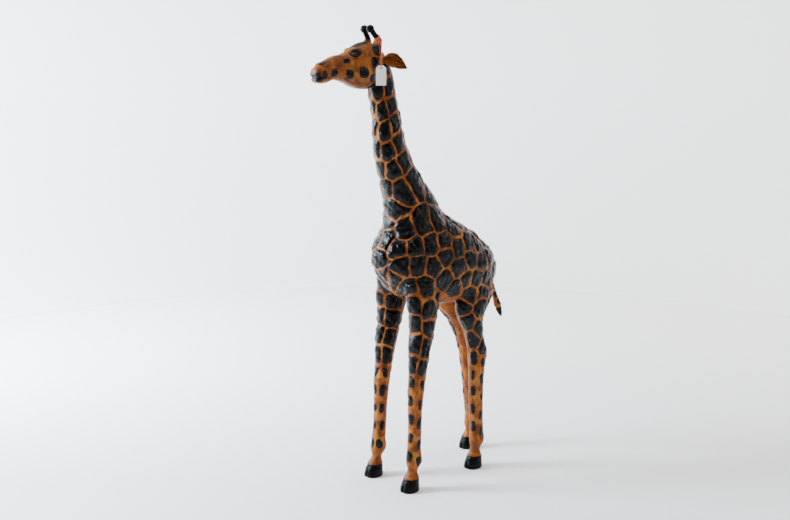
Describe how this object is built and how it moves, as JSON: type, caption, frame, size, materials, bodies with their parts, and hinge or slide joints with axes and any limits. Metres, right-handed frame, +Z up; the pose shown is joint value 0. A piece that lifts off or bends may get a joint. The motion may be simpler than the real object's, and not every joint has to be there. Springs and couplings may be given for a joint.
{
  "type": "leather-covered giraffe statue",
  "caption": "Standing giraffe statue of carved wood covered with painted leather, with black patches, knobbed horns and a hang tag on a string; it rests on its flat hooves.",
  "frame": {"origin": "on the floor, below the centre of the statue's bounding box, measured without the hang tag and its string", "axes": "+Z up, the animal faces -Y, its left side is +X"},
  "size_m": [0.2584, 0.8216, 1.5064],
  "materials": {
    "carved_wood": "raw, carved",
    "dowel_wood": "raw, turned",
    "painted_leather": "painted, satin, wrinkled",
    "black_leather": "painted, matte",
    "black_painted_wood": "painted black, satin",
    "eye_glass": "polished",
    "iron_wire": "plain drawn wire",
    "tag_card": "white card, matte",
    "red_cotton": "twisted cotton"
  },
  "bodies": {
    "statue": {"head_core": "carved_wood", "head_cover": "painted_leather", "head_dowel": "dowel_wood", "left_eye": "eye_glass", "left_front_hoof": "black_painted_wood", "left_front_hoof_peg": "dowel_wood", "left_front_leg_core": "carved_wood", "left_front_leg_cover": "painted_leather", "left_front_leg_dowel": "dowel_wood", "left_hind_hoof": "black_painted_wood", "left_hind_hoof_peg": "dowel_wood", "left_hind_leg_core": "carved_wood", "left_hind_leg_cover": "painted_leather", "left_hind_leg_dowel": "dowel_wood", "left_horn": "black_painted_wood", "mane": "black_leather", "neck_core": "carved_wood", "neck_cover": "painted_leather", "neck_dowel": "dowel_wood", "right_eye": "eye_glass", "right_front_hoof": "black_painted_wood", "right_front_hoof_peg": "dowel_wood", "right_front_leg_core": "carved_wood", "right_front_leg_cover": "painted_leather", "right_front_leg_dowel": "dowel_wood", "right_hind_hoof": "black_painted_wood", "right_hind_hoof_peg": "dowel_wood", "right_hind_leg_core": "carved_wood", "right_hind_leg_cover": "painted_leather", "right_hind_leg_dowel": "dowel_wood", "right_horn": "black_painted_wood", "string_loop": "red_cotton", "trunk_core": "carved_wood", "trunk_cover": "painted_leather"},
    "tail": {"tail_sleeve": "painted_leather", "tail_wire": "iron_wire", "tail_tuft": "black_leather"},
    "left_ear": {"left_ear": "painted_leather"},
    "right_ear": {"right_ear": "painted_leather"},
    "tag": {"hang_tag": "tag_card", "tag_string": "red_cotton"}
  },
  "joints": [
    {"name": "tail_flex", "type": "hinge", "parent": "statue", "child": "tail", "pos_m": [0, 0.336, 0.668], "axis": [1, 0, 0], "range_deg": [-4, 35]},
    {"name": "left_ear_flex", "type": "hinge", "parent": "statue", "child": "left_ear", "pos_m": [0.0335, -0.1665, 1.4065], "axis": [0, 0, 1], "range_deg": [-12, 12], "stiffness_Nm_per_rad": 0.15},
    {"name": "right_ear_flex", "type": "hinge", "parent": "statue", "child": "right_ear", "pos_m": [-0.0335, -0.1665, 1.4065], "axis": [0, 0, -1], "range_deg": [-12, 12], "stiffness_Nm_per_rad": 0.15},
    {"name": "tag_swing", "type": "hinge", "parent": "statue", "child": "tag", "pos_m": [0.03635, -0.18877, 1.47077], "axis": [0, -1, 0], "range_deg": [0, 50]}
  ]
}
